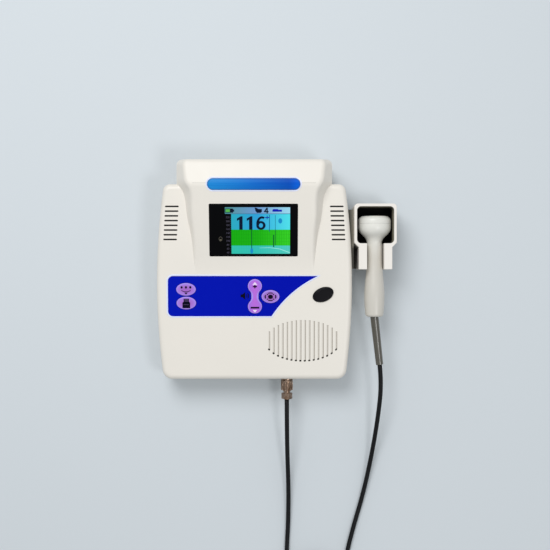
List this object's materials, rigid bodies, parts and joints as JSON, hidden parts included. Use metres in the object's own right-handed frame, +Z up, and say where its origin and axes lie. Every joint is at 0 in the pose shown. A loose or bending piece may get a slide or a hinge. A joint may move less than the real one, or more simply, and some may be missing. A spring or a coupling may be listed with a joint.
{
  "type": "fetal doppler monitor",
  "caption": "Desktop fetal heart doppler console with a colour display, key panel, speaker grille and a corded probe resting in a side cradle.",
  "frame": {"origin": "on the supporting surface, under the middle of the model without its lead", "axes": "+Z up, +Y towards the console's rear, +X towards the probe's cradle"},
  "size_m": [0.287, 0.5637, 0.0835],
  "materials": {
    "shell_white": "fine satin moulding",
    "cradle_white": "satin moulding",
    "probe_white": "semi-gloss moulding",
    "soft_white": "smooth silicone",
    "window_black": "high gloss",
    "panel_blue": "semi-gloss film",
    "strip_blue": "semi-gloss film",
    "key_lilac": "satin silicone",
    "button_black": "satin",
    "foam_black": "closed-cell foam",
    "bracket_grey": "moulded grain",
    "rubber_black": "matt",
    "cord_black": "satin jacket",
    "relief_grey": "glossy sleeve",
    "nickel": "bright nickel",
    "steel": "zinc plated",
    "board_green": "solder mask",
    "dark_plastic": "moulded",
    "paper_black": "pressed paper",
    "cell_wrap": "shrink wrap",
    "ceramic": "silvered ceramic",
    "screen_lit": "lit display picture",
    "print_white": "screen-printed ink",
    "print_dark": "screen-printed ink"
  },
  "bodies": {
    "console": {"front_shell": "shell_white", "rear_shell": "shell_white", "battery_door": "shell_white", "battery_cells": "cell_wrap", "door_screw": "steel", "case_screws": "steel", "feet": "rubber_black", "main_board": "board_green", "board_screws": "steel", "charge_jack": "dark_plastic", "display_window": "window_black", "display_module": "dark_plastic", "display_board": "board_green", "display_screws": "steel", "accent_strip": "strip_blue", "keypad_overlay": "panel_blue", "keypad_board": "board_green", "keypad_screws": "steel", "key_switches": "dark_plastic", "power_switch": "dark_plastic", "speaker_frame": "steel", "speaker_cone": "paper_black", "speaker_magnet": "steel", "speaker_screws": "steel", "probe_socket": "nickel", "socket_nut": "steel", "cradle": "cradle_white", "cradle_liner": "foam_black", "cradle_bracket": "bracket_grey", "cradle_screws": "steel", "bracket_screws": "steel", "plug_body": "nickel", "plug_clamp_nut": "nickel", "cord_plug_run": "cord_black", "cord_probe_run": "cord_black", "cord_coil": "cord_black"},
    "filter_key": {"filter_key": "key_lilac"},
    "record_key": {"record_key": "key_lilac"},
    "mode_key": {"mode_key": "key_lilac"},
    "volume_rocker": {"volume_rocker": "key_lilac"},
    "power_button": {"power_button": "button_black"},
    "coupling_ring": {"plug_ring": "nickel"},
    "probe": {"probe_housing": "probe_white", "probe_cap": "probe_white", "sound_window": "soft_white", "crystals": "ceramic", "crystal_backing": "foam_black", "probe_board": "board_green", "strain_relief": "relief_grey"}
  },
  "joints": [
    {"name": "filter_key_press", "type": "slide", "parent": "console", "child": "filter_key", "axis": [0, 0.0698, -0.9976], "range_m": [0, 0.0008], "stiffness_N_per_m": 1500, "springref_m": -0.0005},
    {"name": "record_key_press", "type": "slide", "parent": "console", "child": "record_key", "axis": [0, 0.0698, -0.9976], "range_m": [0, 0.0008], "stiffness_N_per_m": 1500, "springref_m": -0.0005},
    {"name": "mode_key_press", "type": "slide", "parent": "console", "child": "mode_key", "axis": [0, 0.0698, -0.9976], "range_m": [0, 0.0008], "stiffness_N_per_m": 1500, "springref_m": -0.0005},
    {"name": "power_button_press", "type": "slide", "parent": "console", "child": "power_button", "axis": [0, 0.0698, -0.9976], "range_m": [0, 0.0012], "stiffness_N_per_m": 1500, "springref_m": -0.0005},
    {"name": "volume_rocker_tip", "type": "hinge", "parent": "console", "child": "volume_rocker", "pos_m": [-0.02587, -0.02503, 0.04851], "axis": [1, 0, 0], "range_deg": [-3, 3], "stiffness_Nm_per_rad": 1.2},
    {"name": "probe_lift", "type": "slide", "parent": "console", "child": "probe", "axis": [0, 0, 1], "range_m": [0, 0.08]},
    {"name": "plug_ring_turn", "type": "hinge", "parent": "console", "child": "coupling_ring", "pos_m": [0.01253, -0.13375, 0.033], "axis": [0, -1, 0], "range_deg": [0, 90]}
  ]
}
